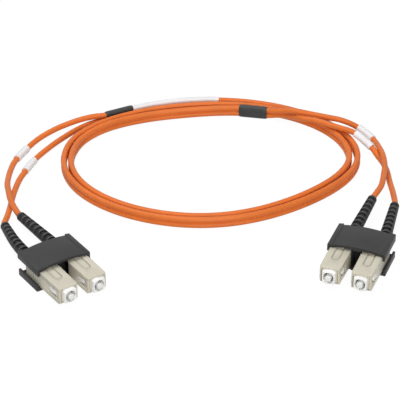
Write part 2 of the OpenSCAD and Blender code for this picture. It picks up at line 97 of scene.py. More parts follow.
# Routes of the four strands from the split sleeves to the boots
ROUTE = {
    "left_outer": (
        (-47, 103.5, 1.5), (-53.5, 98.5, 1.3), (-61.5, 88.5, 1.3), (-66.5, 80.5, 1.4), (-71, 71.5, 1.7),
        (-74.9, 60.5, 1.7), (-76.6, 55, 1.4), (-77.7, 48, 1.3), (-78.3, 42, 1.3), (-78.5, 36.5, 1.5),
        (-79.1, 26.5, 2)),
    "left_inner": (
        (-47, 104, 4.2), (-53.5, 101.5, 3.9), (-62, 97, 2.8), (-66, 94, 2.2), (-70.5, 89, 1.8),
        (-74.5, 82, 1.7), (-79.5, 70, 1.7), (-80.7, 63.5, 1.8), (-81.2, 54.5, 2.4), (-80.9, 48, 3.4),
        (-79.8, 41.5, 4.1), (-78.8, 36.3, 4.3), (-77, 30.5, 4.3)),
    "right_outer": (
        (33, 108, 2.6), (37, 106, 3.6), (41, 102.5, 4.8), (44.5, 98.6, 6.1), (48.5, 96.7, 6.7),
        (52, 94.8, 6.8), (60, 89.5, 6.8), (63.5, 86.9, 7.1), (66.8, 83.7, 7.1), (73, 78.2, 3.9),
        (75.7, 73.9, 1.75), (77.6, 68.7, 1.3), (78.7, 61.5, 1.3), (79, 53.5, 1.6), (79.4, 43, 2.9)),
    "right_inner": (
        (33, 107, 5.2), (37, 104.5, 6.8), (41, 102.5, 7.8), (48.5, 101, 7), (56.5, 98.5, 6.6),
        (60.5, 97.6, 6.2), (65.2, 96.1, 5.1), (68.9, 94.3, 3.8), (74.4, 88, 2.2), (76.2, 80.3, 3.1),
        (77.4, 70.9, 4.25), (77.5, 61.7, 4.3), (76.5, 54.5, 4.4), (74.6, 45, 4.8)),
}
# A lead's label lies between this point of its route and the next
LABEL_AT = {"left_outer": 4, "left_inner": 5, "right_outer": 8, "right_inner": 7}

# The coil is an oval with a dent. T is the angle round it, and the cord turns down from SPLIT_1_T
COIL_CENTRE = Vector((4.5, 69.5))
COIL_RADII = (61.8, 48.5)
DENT, DENT_AT = 5.5, -45
# The distance from turn to turn, and between which Ts the cord changes lanes
LANE = 2.6
SHIFT_T = (-195, -235)
# The second turn's slack: all round, at both sides, at the right, and the sines of T where it fades
SLACK, SIDE_SLACK, RIGHT_SLACK, SLACK_FADE = 0.3, 0.4, 0.25, (0.2, 0.8)
REAR_SLACK, REAR_SLACK_AT, REAR_SLACK_REACH = 1.5, 103, 42

# The left split sleeve ends just past the coil's start, and the right one lies between two Ts
SPLIT_1_T, SPLIT_1_PAST, SPLIT_1_LENGTH = 123.7, 0.1, 13.2
SPLIT_2_T = (77.5, 65.0)
SPLIT_SIDE = 1.6
SPLIT_HEIGHT = {"upper": 4.12, "lower": 1.58}

# ---- Forms, in millimetres ----

WEB_HEIGHT = 0.9
STRAND_ROUNDNESS = 4

# A split sleeve draws in at its ends, to SLEEVE_END over SLEEVE_TIP of its length, and swells in a wave
SLEEVE_STEPS, SLEEVE_LIFT, SLEEVE_END, SLEEVE_TIP = 18, 0.02, 0.93, 1 / 13
SWELL, SWELL_RATE, SWELL_START = 0.008, 9, {"left": 1, "right": 3}

# The long label: from T to T, how far out of the oval and how high its middle lies, and its section
WRAP_T, WRAP_STEPS, WRAP_OUT, WRAP_HEIGHT = (123.9, 87), 26, 1.36, 2.6
WRAP_SECTION = (2.68 * MM, 5.2 * MM)
# A lead's label: paper thickness, the part of a turn in which the lap climbs, and its angle in radians
PAPER, LAP_PART, LAP_START = 0.12, 0.35, 2.6
LABEL_STEP, LABEL_SIDES = 0.2, 30

# A boot: clear lengths before the first rib and behind the last, the depth of a rib's foot, and its rounding
RIB_MARGINS, RIB_FOOT, RIB_ROUND = (1.4, 0.3), 0.2, 0.38
ROUND_SIDES, BOOT_STEPS, RIB_LINE_STEPS = 32, 40, 48
# Chamfers of the collar's front and rear, and of the tail along and inward
COLLAR_CHAMFERS, TAIL_CHAMFER = (0.2, 0.3), (0.3, 0.12)
BOOT_BORE, BORE_LENGTH = 1.32, 6
# Keep two rings of the core from lying at one station
COLLAR_GAP, TAIL_GAP = 0.01, 0.001
# A side spine: how far inside the collar it starts, how far it lies below the ribs, and its foot's depth
SPINE_INSIDE, SPINE_BELOW, SPINE_FOOT, SPINE_POINTS = 0.39, 0.02, 0.12, 9

# A housing's front corners: where they are, and how far they draw in and up
FRONT_END, FRONT_SIDE, FRONT_FLOOR, FRONT_IN, FRONT_UP = 2.1, 4, -3.2, 0.25, 0.6
FRONT_CUTS = [("y", 2.6)]
# The draft of a housing's sides: its slope, where it is none, where the sides start, and their fade
DRAFT, DRAFT_FROM, DRAFT_SIDE, DRAFT_FADE = 0.015, 26.6, 3.65, 0.3
# Blocks in a housing's mouth at +X: two lips, the bar beside them, and the wall behind
MOUTH_BLOCKS = [
    ((2.76, 1.74, -2.9), (3.05, 2.3, 2.9)), ((3.35, 1.74, -2.9), (3.6, 2.3, 2.9)),
    ((3.7, 1.85, -1.8), (4.4, 3.4, 1.8)), ((2.8, 2.15, -2.85), (4.1, 2.3, 2.85))]
# For the painted shade on a housing: the finger mark's round end and radius, and the grip ridges' wave in
# radians per millimetre
MARK_AT, MARK_RADIUS, RIDGE_RATE = 9.5, 1.45, 4.6

# A plug frame's nose: its end and fade, and how its core and the walls beside that are drawn in
NOSE_END, NOSE_FADE, NOSE_CORE, NOSE_SCALE = 4.3, 0.4, 2.6, 0.88
NOSE_WALL, NOSE_WALL_SCALE = 2.42, 0.28
NOSE_CUTS = [("y", NOSE_END - NOSE_FADE), ("y", NOSE_END), ("x", 1.7), ("x", -1.7)]
SLOT_PAD = ((2.7, 5.2, -0.5), (4.15, 9.2, 1.25))

# The recess in the front of a clip's web, and its bevel beside that of the plugs
CLIP_RECESS = ((-1.75, 14, -3.6), (1.75, 21, 4.2))
CLIP_BEVEL = 1.2

# What tells edges apart, in degrees, and points, in metres
BEVEL_ANGLE, SMOOTH_ANGLE, FLAT_ANGLE = 35, 30, 0.6
SAME_POINT, ON_PLANE = 1e-6, 1e-7

# ---- Stage, in metres ----

CAMERA_TARGET = Vector((-0.0006, 0.0416, 0))
LAMP_TARGET = Vector((0, 0.04, 0))
# Name, place and size of each lamp
LAMPS = (("overhead lamp", (-0.25, 0.15, 0.9), 0.8), ("front lamp", (0.2, -0.9, 0.42), 0.5))
# The floor's half width, its grey, its own white light, and how much of its look that light is
FLOOR_HALF, FLOOR_GREY, FLOOR_GLOW, FLOOR_SHARE = 3.0, 0.6, 1.1, 0.86
WHITE = (1, 1, 1, 1)


# ---- Settings ----

def length(name, description, default):
    return FloatProperty(
        name=name, description=description, default=default, min=0, unit="LENGTH", precision=5)


def angle(name, description, default):
    return FloatProperty(name=name, description=description, default=math.radians(default), subtype="ANGLE")


def tint(name, thing, default):
    return FloatVectorProperty(
        name=name, description="Colour of the " + thing, default=default, min=0, max=1, subtype="COLOR")


class CordSettings(bpy.types.PropertyGroup):
    strand_diameter: length("Strand diameter", "Diameter of one jacketed strand", 0.0025)
    lower_height: length("Lower strand", "Height of the lower strand's middle in the coil", 0.00128)
    upper_height: length("Upper strand", "Height of the upper strand's middle in the coil", 0.00382)
    web_width: length("Web width", "Thickness of the web that joins the two strands", 0.0011)
    sleeve_width: length("Split sleeve width", "Width of the shrunk sleeve at a split", 0.0031)
    sleeve_height: length("Split sleeve height", "Height of the shrunk sleeve at a split", 0.00565)
    label_radius: length("Label radius", "Outer radius of the paper wrapped on a strand", 0.00168)
    label_length: length("Label length", "Length of the paper wrapped on a strand", 0.0094)
    point_step: length("Point step", "Distance between the points of the strands' lines", 0.0014)


class BootSettings(bpy.types.PropertyGroup):
    rib_count: IntProperty(name="Ribs", description="Number of ribs along a boot", default=9, min=2)
    rib_length: length("Rib length", "Length of one rib along the boot", 0.0012)
    first_radius: length("First rib radius", "Outer radius of the rib beside the clip", 0.0026)
    last_radius: length("Last rib radius", "Outer radius of the rib at the tail", 0.00195)
    first_slot: length("First slot", "How far the core lies below the ribs beside the clip", 0.0008)
    last_slot: length("Last slot", "How far the core lies below the ribs at the tail", 0.0004)
    spine_angle: angle("Spine angle", "Half of the arc that a side spine covers", 44)


class FinishSettings(bpy.types.PropertyGroup):
    jacket: tint("Jacket", "strands' jacket", (0.8, 0.189, 0.032))
    housing: tint("Housing", "outer housings", (0.66, 0.62, 0.50))
    plug_frame: tint("Plug frame", "inner plug frames", (0.95, 0.94, 0.91))
    clip: tint("Clip", "clips", (0.038, 0.038, 0.039))
    boot: tint("Boot", "boots", (0.007, 0.007, 0.007))
    # Colour of the painted highlight on the boots' rib crests, where the lamps would gleam on their rounded
    # tops.
    crest: tint("Rib crest", "boots' ribs, worn a little grey", (0.08, 0.08, 0.08))
    sleeve: tint("Split sleeve", "split sleeves", (0.018, 0.018, 0.019))
    label: tint("Label", "paper labels", (0.92, 0.92, 0.93))
    edge_bevel: length("Edge bevel", "Radius of the moulded parts' edges", 0.00013)


class StageSettings(bpy.types.PropertyGroup):
    camera_distance: length("Camera distance", "Distance from the camera to its target", 0.8)
    camera_height_angle: angle("Camera elevation", "Angle of the view above the surface", 32.3)
    lens: FloatProperty(
        name="Lens", description="Focal length on a 36 mm sensor", default=173.48, unit="CAMERA")
    lamp_power: FloatProperty(name="Lamp power", description="Each lamp's power", default=5.76, unit="POWER")
    surround: FloatProperty(name="Surround", description="Strength of the even light all round", default=0.2)


# ---- Nodes ----

def add_node(tree, kind, inputs, **settings):
    """A new node, with its settings made and its inputs linked to sockets or set to values."""
    node = tree.nodes.new(kind)
    for key, value in settings.items():
        setattr(node, key, value)
    for key, value in inputs.items():
        if isinstance(value, bpy.types.NodeSocket):
            tree.links.new(value, node.inputs[key])
        else:
            node.inputs[key].default_value = value
    return node


class Value:
    """A shader socket that adds its Math nodes when it is used in an expression."""

    def __init__(self, graph, socket):
        self.graph = graph
        self.socket = socket

    def __add__(self, other):
        return self.graph.math("ADD", self, other)

    def __sub__(self, other):
        return self.graph.math("SUBTRACT", self, other)

    def __rsub__(self, other):
        return self.graph.math("SUBTRACT", other, self)

    def __mul__(self, other):
        return self.graph.math("MULTIPLY", self, other)

    __radd__ = __add__
    __rmul__ = __mul__


class Graph:
    """The nodes of a material or of the world."""

    def __init__(self, owner):
        self.owner = owner
        owner.use_nodes = True
        self.tree = owner.node_tree
        self.tree.nodes.clear()

    def node(self, kind, inputs, output=0, **settings):
        sockets = {key: value.socket if isinstance(value, Value) else value for key, value in inputs.items()}
        made = add_node(self.tree, "ShaderNode" + kind, sockets, **settings)
        return Value(self, made.outputs[output]) if made.outputs else None

    def math(self, operation, *values):
        return self.node("Math", dict(enumerate(values)), operation=operation)

    def object_point(self):
        return self.node("TexCoord", {}, "Object")

    def noise(self, scale, detail, roughness=0.5):
        return self.node("TexNoise", {
            "Vector": self.object_point(), "Scale": scale, "Detail": detail, "Roughness": roughness})

    def ramp(self, value, low, high):
        """Grey from one (place, level) stop to the other."""
        made = add_node(self.tree, "ShaderNodeValToRGB", {"Fac": value.socket})
        for element, (place, level) in zip(made.color_ramp.elements, (low, high)):
            element.position = place
            element.color = (level, level, level, 1)
        return Value(self, made.outputs[0])

    def rise(self, value, low, high, reach):
        """From 0 at low to 1 at high, for lengths of up to reach."""
        return self.ramp(value * (1 / reach), (low / reach, 0), (high / reach, 1))

    def mix(self, factor, first, second):
        """Mixes two colours; the numbers are the Mix node's sockets for colours."""
        first, second = (c if isinstance(c, Value) else (*c, 1) for c in (first, second))
        return self.node("Mix", {0: factor, 6: first, 7: second}, 2, data_type="RGBA")

    def clouded(self, colour, cloud, low, high, dark, light):
        """The colour in soft patches, from dark times to light times its own."""
        return self.mix(self.ramp(cloud, (low, 0), (high, 1)), shade(colour, dark), shade(colour, light))

    def bump(self, height, distance, strength, under=None):
        inputs = {"Height": height, "Distance": distance, "Strength": strength}
        if under:
            inputs["Normal"] = under
        return self.node("Bump", inputs)

    def seen(self):
        """1 for the rays that show a thing: from the camera, from a gloss or through glass."""
        kinds = ("Camera", "Glossy", "Transmission")
        camera, glossy, passing = (self.node("LightPath", {}, f"Is {kind} Ray") for kind in kinds)
        return camera + glossy + passing

    def finish(self, colour, roughness, normal, metallic=0.0, level=0.5):
        surface = self.node("BsdfPrincipled", {
            "Base Color": colour, "Roughness": roughness, "Metallic": metallic, "Specular IOR Level": level,
            "Normal": normal})
        self.node("OutputMaterial", {"Surface": surface})
        return self.owner


# ---- Finishes ----

def material_graph(name):
    return Graph(bpy.data.materials.new(name))


def shade(colour, factor):
    return tuple(min(1.0, c * factor) for c in colour)


def jacket_finish(colour):
    graph = material_graph("orange jacket")
    grain = graph.noise(2600, 2, 0.6)
    tone = graph.clouded(colour, graph.noise(90, 3), 0.35, 0.7, 0.94, 1.06)
    return graph.finish(tone, 0.36 + 0.12 * grain, graph.bump(grain, 0.00002, 0.6), level=0.25)


def moulded_finish(name, colour, rough, grain_scale=1800, spread=0.02, depth=0.00002, level=0.5):
    """Moulded plastic: a faint cloud of tone and a fine spark-eroded grain."""
    graph = material_graph(name)
    grain = graph.noise(grain_scale, 2, 0.7)
    tone = graph.clouded(colour, graph.noise(140, 4), 0.3, 0.72, 1 - spread, 1 + spread)
    return graph.finish(tone, rough - 0.06 + 0.12 * grain, graph.bump(grain, depth, 0.7), level=level)


def housing_finish(colour):
    """Beige plastic, with painted shade on the finger mark's rim on top and in the grip ridges down the
    sides, which are also bumped.
    """
    graph = material_graph("beige moulding")
    grain = graph.noise(1800, 2, 0.7)
    own = graph.node("Attribute", {}, "Vector", attribute_name="own_place")
    across, along, up = (graph.node("SeparateXYZ", {0: own}, k) for k in range(3))
    before = graph.math("MINIMUM", along - MARK_AT, 0)
    off_rim = graph.math("ABSOLUTE", graph.math("SQRT", across * across + before * before) - MARK_RADIUS)
    rim = graph.ramp(off_rim, (0.12, 1), (0.5, 0)) * graph.rise(up, 3.1, 3.2, 5)
    crests = graph.ramp(graph.math("SINE", along * RIDGE_RATE), (0.2, 0), (0.8, 1))
    on_wall = graph.rise(graph.math("ABSOLUTE", across), 4.3, 4.4, 5)
    ridges = crests * on_wall * graph.rise(along, 9.9, 10, 20)
    # Painted shade: the rim and the ridges are darkened where their shallow relief would lie in shadow, and
    # the same mask drives the bump.
    painted_groove_shade = graph.math("MAXIMUM", rim * 0.6, ridges * 0.8)
    tone = graph.clouded(colour, graph.noise(140, 4), 0.3, 0.72, 0.97, 1.03)
    tone = graph.mix(painted_groove_shade, tone, shade(colour, 0.42))
    normal = graph.bump(1 - painted_groove_shade, 0.0001, 0.6, graph.bump(grain, 0.00002, 0.7))
    return graph.finish(tone, 0.3 + 0.12 * grain, normal)


def boot_finish(colour, crest_highlight_colour):
    """Dark rubber, with a painted highlight in grey on the crest of each rib."""
    graph = material_graph("boot rubber")
    cloud = graph.noise(260, 4)
    grain = graph.noise(3200, 2, 0.65)
    crest = graph.node("Attribute", {}, "Fac", attribute_name="crest")
    tone = graph.clouded(colour, cloud, 0.35, 0.75, 0.8, 1.35)
    # Painted highlight: the ribs' crests are greyed where the lamps would gleam on their rounded tops.
    tone = graph.mix(crest * graph.ramp(cloud, (0.1, 0.6), (0.7, 1)), tone, crest_highlight_colour)
    return graph.finish(tone, 0.5 + 0.16 * cloud, graph.bump(grain, 0.00003, 0.7), level=0.3)


def shrunk_finish(colour):
    """Shrunk tubing: long soft creases over a fine grain."""
    graph = material_graph("shrunk tubing")
    creases = graph.node("TexWave", {
        "Vector": graph.object_point(), "Scale": 120.0, "Distortion": 9.0, "Detail": 2.0, "Detail Scale": 1.4,
    }, "Fac", wave_type="BANDS", bands_direction="DIAGONAL")
    grain = graph.noise(2400, 2, 0.6)
    tone = graph.mix(creases, shade(colour, 0.85), shade(colour, 1.3))
    normal = graph.bump(grain, 0.00002, 0.6, graph.bump(creases, 0.00006, 0.5))
    return graph.finish(tone, 0.46 + 0.1 * grain, normal)


def paper_finish(colour):
    graph = material_graph("label paper")
    fibres = graph.noise(1500, 5, 0.7)
    tone = graph.clouded(colour, graph.noise(160, 2), 0.3, 0.7, 0.97, 1.03)
    return graph.finish(tone, 0.5 + 0.12 * fibres, graph.bump(fibres, 0.00002, 0.5), level=0.35)


def ceramic_finish():
    graph = material_graph("polished ceramic")
    cloud = graph.noise(420, 3)
    tone = graph.mix(cloud, (0.84, 0.84, 0.82), (0.9, 0.9, 0.88))
    return graph.finish(tone, 0.14 + 0.06 * cloud, graph.bump(graph.noise(5200, 2), 0.000004, 0.4))


def metal_finish(name, colour, rough):
    graph = material_graph(name)
    turning = graph.noise(1600, 4, 0.7)
    tone = graph.mix(turning, shade(colour, 0.9), shade(colour, 1.08))
    return graph.finish(tone, rough + 0.15 * turning, graph.bump(turning, 0.00001, 0.4), metallic=1.0)


@cache
def finish_of(key):
    """The material for a finish, made when first asked for."""
    colours = bpy.context.scene.patch_finish
    make, *values = {
        "jacket": (jacket_finish, colours.jacket),
        "housing": (housing_finish, colours.housing),
        "plug_frame": (moulded_finish, "white moulding", colours.plug_frame, 0.34),
        "clip": (moulded_finish, "grey moulding", colours.clip, 0.5, 1300, 0.07, 0.00004, 0.2),
        "boot": (boot_finish, colours.boot, colours.crest),
        "split_sleeve": (shrunk_finish, colours.sleeve),
        "label": (paper_finish, colours.label),
        "ferrule": (ceramic_finish,),
        "flange": (metal_finish, "nickel", (0.62, 0.61, 0.58), 0.26),
        "spring": (metal_finish, "spring wire", (0.55, 0.55, 0.56), 0.3),
        "stop_ring": (metal_finish, "pale brass", (0.72, 0.63, 0.42), 0.32),
        "crimp_sleeve": (metal_finish, "crimp brass", (0.62, 0.45, 0.22), 0.34),
        "buffered_fiber": (moulded_finish, "buffer", (0.86, 0.82, 0.66), 0.4, 2200),
    }[key]
    return make(*values)


def paint(data, finish):
    data.materials.clear()
    data.materials.append(finish_of(finish))


# ---- Placing ----

def clamped(x):
    return max(0.0, min(1.0, x))


def ease(x):
    x = clamped(x)
    return x * x * (3 - 2 * x)


def spaced(start, end, steps):
    """Values from start to end, in even steps."""
    return [start + (end - start) * i / steps for i in range(steps + 1)]


def pair_matrix(side):
    """From a pair's own frame, Y rearward along its middle, to the whole part's frame."""
    x, y, turn = PAIR_PLACE[side]
    shift = Matrix.Translation((x * MM, y * MM, AXIS_HEIGHT * MM))
    return shift @ Matrix.Rotation(math.radians(turn), 4, "Z")


def plug_matrix(name):
    """From a plug's own frame, Y rearward along the ferrule's axis, to the whole part's frame."""
    return pair_matrix(name.split("_")[0]) @ Matrix.Translation((SIDE[name] * PLUG_OFFSET * MM, 0, 0))


def boot_place(s, name):
    """A point of a boot's line, in metres, and the line's heading there; s is in millimetres."""
    turn, towards = (math.radians(a) for a in BOOT_BEND[name])
    bent = min(turn, max(0.0, s - BOOT_COLLAR_END) / BEND_RADIUS)
    past = max(0.0, s - BOOT_COLLAR_END - BEND_RADIUS * turn)
    aside = Vector((math.cos(towards), 0, -math.sin(towards)))
    ahead = Vector((0, 1, 0))
    heading = math.sin(bent) * aside + math.cos(bent) * ahead
    point = BEND_RADIUS * (1 - math.cos(bent)) * aside
    point += (min(s, BOOT_COLLAR_END) + BEND_RADIUS * math.sin(bent)) * ahead
    matrix = plug_matrix(name)
    return matrix @ ((point + past * heading) * MM), matrix.to_3x3() @ heading


def boot_line(name, stations):
    return [boot_place(s, name)[0] for s in stations]


def outward(t):
    a = math.radians(t)
    return Vector((COIL_RADII[1] * math.cos(a), COIL_RADII[0] * math.sin(a))).normalized()


def coil_point(t, out, height):
    """A point of the coil, in metres: out is the distance outward from the oval, in millimetres."""
    a = math.radians(t)
    dent_at = math.radians(DENT_AT)
    dent = DENT * max(0.0, math.cos(a - dent_at)) ** 4
    flat = COIL_CENTRE + Vector((COIL_RADII[0] * math.cos(a), COIL_RADII[1] * math.sin(a)))
    flat -= dent * Vector((math.cos(dent_at), math.sin(dent_at)))
    flat += out * outward(t)
    return Vector((flat.x, flat.y, height)) * MM


def slack(t):
    """How far the second turn lies clear of the first: widest at the right, none at the rear."""
    a = math.radians(t)
    fade = ease((math.sin(a) - SLACK_FADE[0]) / (SLACK_FADE[1] - SLACK_FADE[0]))
    return (SLACK + SIDE_SLACK * math.cos(a) ** 2 + RIGHT_SLACK * math.cos(a)) * (1 - fade)


def rear_slack(t):
    """How far each turn lies clear of the one outside it at the rear."""
    return REAR_SLACK * (1 - ease(abs(t % 360 - REAR_SLACK_AT) / REAR_SLACK_REACH))


def lane_of(t):
    """The lane's middle, outward from the oval, where the cord has turned to t."""
    first, second = (ease((t + turn - SHIFT_T[0]) / (SHIFT_T[1] - SHIFT_T[0])) for turn in (0, 360))
    return LANE * (0.5 - first - second) - slack(t) * first - rear_slack(t) * (first + second)


def split_ends():
    """Ends of the left and the right split sleeve, at height 0."""
    out = outward(SPLIT_1_T)
    along = Vector((out.y, -out.x, 0)) * MM
    first_end = coil_point(SPLIT_1_T + SPLIT_1_PAST, SPLIT_SIDE, 0)
    second = [coil_point(t, -LANE - SPLIT_SIDE - 2 * rear_slack(t), 0) for t in SPLIT_2_T]
    return (first_end - SPLIT_1_LENGTH * along, first_end), second


def through(points, step):
    """A smooth line through the points, as a list of points about a step apart."""
    line = [points[0]]
    for i in range(len(points) - 1):
        a, b = points[i], points[i + 1]
        before = points[i - 1] if i else a - (b - a)
        after = points[i + 2] if i + 2 < len(points) else b + (b - a)
        k0, k1, k2 = ((q - p).length ** 0.5 for p, q in ((before, a), (a, b), (b, after)))
        m0 = (b - a) - (b - before) * (k1 / (k0 + k1)) + (a - before) * (k1 / k0)
        m1 = (b - a) + (after - b) * (k1 / k2) - (after - a) * (k1 / (k1 + k2))
        count = max(1, round((b - a).length / step))
        for j in range(1, count + 1):
            x = j / count
            line.append(
                (2 * x**3 - 3 * x**2 + 1) * a + (x**3 - 2 * x**2 + x) * m0
                + (3 * x**2 - 2 * x**3) * b + (x**3 - x**2) * m1)
    return line


# ---- Making pieces ----

def add_object(name, data):
    obj = bpy.data.objects.new(name, data)
    bpy.context.scene.collection.objects.link(obj)
    return obj


def new_piece(name, data, finish):
    obj = add_object(name, data)
    paint(data, finish)
    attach(obj, ROOT)
    return obj


def swept_piece(name, line, sections, finish, smooth_below=40):
    bm = bmesh.new()
    sweep(bm, line, sections)
    return new_piece(name, mesh_from(bm, name, smooth_below), finish)


def line_curve(name, line):
    curve = bpy.data.curves.new(name, "CURVE")
    curve.dimensions = "3D"
    spline = curve.splines.new("POLY")
    spline.points.add(len(line) - 1)
    for point, place in zip(spline.points, line):
        point.co = (*place, 1)
    return curve


def evaluated_mesh(obj):
    """A mesh of the object with its modifiers applied."""
    return bpy.data.meshes.new_from_object(obj.evaluated_get(bpy.context.evaluated_depsgraph_get()))


def mesh_from(bm, name, smooth_below=40):
    mesh = bpy.data.meshes.new(name)
    bmesh.ops.recalc_face_normals(bm, faces=bm.faces)
    bm.to_mesh(mesh)
    bm.free()
    mesh.shade_smooth()
    mesh.set_sharp_from_angle(angle=math.radians(smooth_below))
    return mesh


def ring_at(bm, middle, heading, section):
    """A ring of points round a line, from a section of (side, up) points."""
    side = heading.cross(Vector((0, 0, 1))).normalized()
    up = side.cross(heading)
    return [bm.verts.new(middle + u * side + v * up) for u, v in section]


def join_rings(bm, rings):
    """Adds the walls from ring to ring, and a cap at both ends."""
    count = len(rings[0])
    for a, b in zip(rings, rings[1:]):
        for k in range(count):
            bm.faces.new((a[k], a[(k + 1) % count], b[(k + 1) % count], b[k]))
    bm.faces.new(rings[0])
    bm.faces.new(reversed(rings[-1]))


def sweep(bm, line, sections):
    """Adds a solid to bm: one section for each point of the line."""
    rings = []
    last = len(line) - 1
    for i, section in enumerate(sections):
        heading = (line[min(i + 1, last)] - line[max(i - 1, 0)]).normalized()
        rings.append(ring_at(bm, line[i], heading, section))
    join_rings(bm, rings)


def polar(r, a):
    return r * math.cos(a), r * math.sin(a)


def turns(sides):
    """Angles once round, one for each side."""
    return [2 * math.pi * k / sides for k in range(sides)]


def oblong_section(width, height, sides, power):
    """A rounded oblong: the higher the power, the squarer."""
    def flattened(size, x):
        return size / 2 * math.copysign(abs(x) ** (2 / power), x)
    return [(flattened(width, math.cos(a)), flattened(height, math.sin(a))) for a in turns(sides)]


def move_points(points, place, move):
    """Moves points by a function of x, y and z in millimetres of the frame that place gives."""
    inverse = place.inverted()
    for point in points:
        point.co = place @ (Vector(move(*((inverse @ point.co) / MM))) * MM)


def cut(bm, place, axis, at):
    """Cuts the mesh with a plane across an axis of the frame that place gives."""
    normal = Vector([float(axis == letter) for letter in "xyz"])
    bmesh.ops.bisect_plane(
        bm, geom=bm.verts[:] + bm.edges[:] + bm.faces[:], dist=ON_PLANE,
        plane_co=place @ (normal * at * MM), plane_no=place.to_3x3() @ normal)


def add_block(bm, place, low, high):
    """Adds a box between two corners, in millimetres of the frame that place gives."""
    corners = []
    for k in range(8):
        corner = Vector([(low, high)[k >> axis & 1][axis] for axis in range(3)])
        corners.append(bm.verts.new(place @ (corner * MM)))
    for loop in ((0, 2, 3, 1), (4, 5, 7, 6), (0, 1, 5, 4), (2, 6, 7, 3), (0, 4, 6, 2), (1, 3, 7, 5)):
        bm.faces.new([corners[k] for k in loop])


def keep_own_place(mesh, place):
    """Stores each point's place in the plug's own millimetres, for the painted shade that follows the
    moulding.
    """
    inverse = place.inverted()
    own = mesh.attributes.new("own_place", "FLOAT_VECTOR", "POINT")
    for vertex, value in zip(mesh.vertices, own.data):
        value.vector = (inverse @ vertex.co) / MM


def reshaped(node, place, cuts, move, blocks):
    """The mesh of a CAD solid, cut, moved and joined by blocks in the frame that place gives."""
    bm = bmesh.new()
    bm.from_mesh(frame["nodes"][node].data)
    bmesh.ops.remove_doubles(bm, verts=bm.verts, dist=SAME_POINT)
    if move:
        for axis, at in cuts:
            cut(bm, place, axis, at)
        move_points(bm.verts, place, move)
    bmesh.ops.dissolve_limit(bm, angle_limit=math.radians(FLAT_ANGLE), verts=bm.verts, edges=bm.edges)
    for low, high in blocks:
        add_block(bm, place, low, high)
    mesh = bpy.data.meshes.new(node + "_soft")
    bm.to_mesh(mesh)
    bm.free()
    return mesh


def hollow_out(obj, place, hollow):
    """Cuts a block out of the object; the block has to stay until the modifier is applied."""
    bm = bmesh.new()
    add_block(bm, place, *hollow)
    cutter = add_object("cutter", mesh_from(bm, "cutter"))
    modifier = obj.modifiers.new("Hollow", "BOOLEAN")
    modifier.operation = "DIFFERENCE"
    modifier.solver = "EXACT"
    modifier.object = cutter
    return cutter


def softened(node, finish, width, place, cuts=(), move=None, blocks=(), hollow=None, settle=None):
    """A copy of a CAD solid with its edges rounded, which stands for it."""
    obj = add_object(node + "_moulded", reshaped(node, place, cuts, move, blocks))
    cutter = hollow_out(obj, place, hollow) if hollow else None
    bevel = obj.modifiers.new("Edge", "BEVEL")
    bevel.width = width
    bevel.segments = 2
    bevel.limit_method = "ANGLE"
    bevel.angle_limit = math.radians(BEVEL_ANGLE)
    made = evaluated_mesh(obj)
    obj.modifiers.clear()
    obj.data = made
    if cutter:
        bpy.data.objects.remove(cutter)
    if settle:
        move_points(made.vertices, place, settle)
        keep_own_place(made, place)
    made.shade_smooth()
    made.set_sharp_from_angle(angle=math.radians(SMOOTH_ANGLE))
    paint(made, finish)
    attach(obj, frame["nodes"][node]["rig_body"])
    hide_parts(node)


# ---- Operators ----

class PATCHCORD_OT_stage(bpy.types.Operator):
    """Sets up the camera, the lamps, the surround and the pale floor"""
    bl_idname = "patchcord.stage"
    bl_label = "Stage"

    def execute(self, context):
        settings = context.scene.patch_stage
        self.add_camera(context, settings)
        self.add_lamps(settings)
        self.add_surround(context, settings)
        self.add_floor()
        context.scene.view_settings.view_transform = "Standard"
        return {"FINISHED"}

    def add_camera(self, context, settings):
        data = bpy.data.cameras.new("camera")
        data.sensor_width = 36
        data.lens = settings.lens
        data.clip_start, data.clip_end = 0.01, 20
        camera = add_object("camera", data)
        above = settings.camera_height_angle
        back = Vector((0, -math.cos(above), math.sin(above)))
        camera.location = CAMERA_TARGET + settings.camera_distance * back
        camera.rotation_euler = (math.pi / 2 - above, 0, 0)
        context.scene.camera = camera

    def add_lamps(self, settings):
        for name, place, size in LAMPS:
            data = bpy.data.lights.new(name, "AREA")
            data.size = size
            data.energy = settings.lamp_power
            lamp = add_object(name, data)
            lamp.location = place
            lamp.rotation_euler = (LAMP_TARGET - Vector(place)).to_track_quat("-Z", "Y").to_euler()

    def add_surround(self, context, settings):
        """Even light on the object, and white where the surround itself is seen."""
        graph = Graph(bpy.data.worlds.new("surround"))
        context.scene.world = graph.owner
        even = graph.node("Background", {"Strength": settings.surround, "Color": WHITE})
        white = graph.node("Background", {"Color": WHITE})
        mixed = graph.node("MixShader", {0: graph.seen(), 1: even, 2: white})
        graph.node("OutputWorld", {"Surface": mixed})

    def add_floor(self):
        """The floor keeps a trace of the shadow and is otherwise white to the camera."""
        mesh = bpy.data.meshes.new("floor")
        corners = [(x * FLOOR_HALF, y * FLOOR_HALF, 0) for x, y in ((-1, -1), (1, -1), (1, 1), (-1, 1))]
        mesh.from_pydata(corners, [], [(0, 1, 2, 3)])
        graph = material_graph("pale floor")
        lit = graph.node("BsdfDiffuse", {"Color": (FLOOR_GREY, FLOOR_GREY, FLOOR_GREY, 1)})
        white = graph.node("Emission", {"Color": WHITE, "Strength": FLOOR_GLOW})
        mixed = graph.node("MixShader", {0: graph.seen() * FLOOR_SHARE, 1: lit, 2: white})
        graph.node("OutputMaterial", {"Surface": mixed})
        mesh.materials.append(graph.owner)
        add_object("floor", mesh)


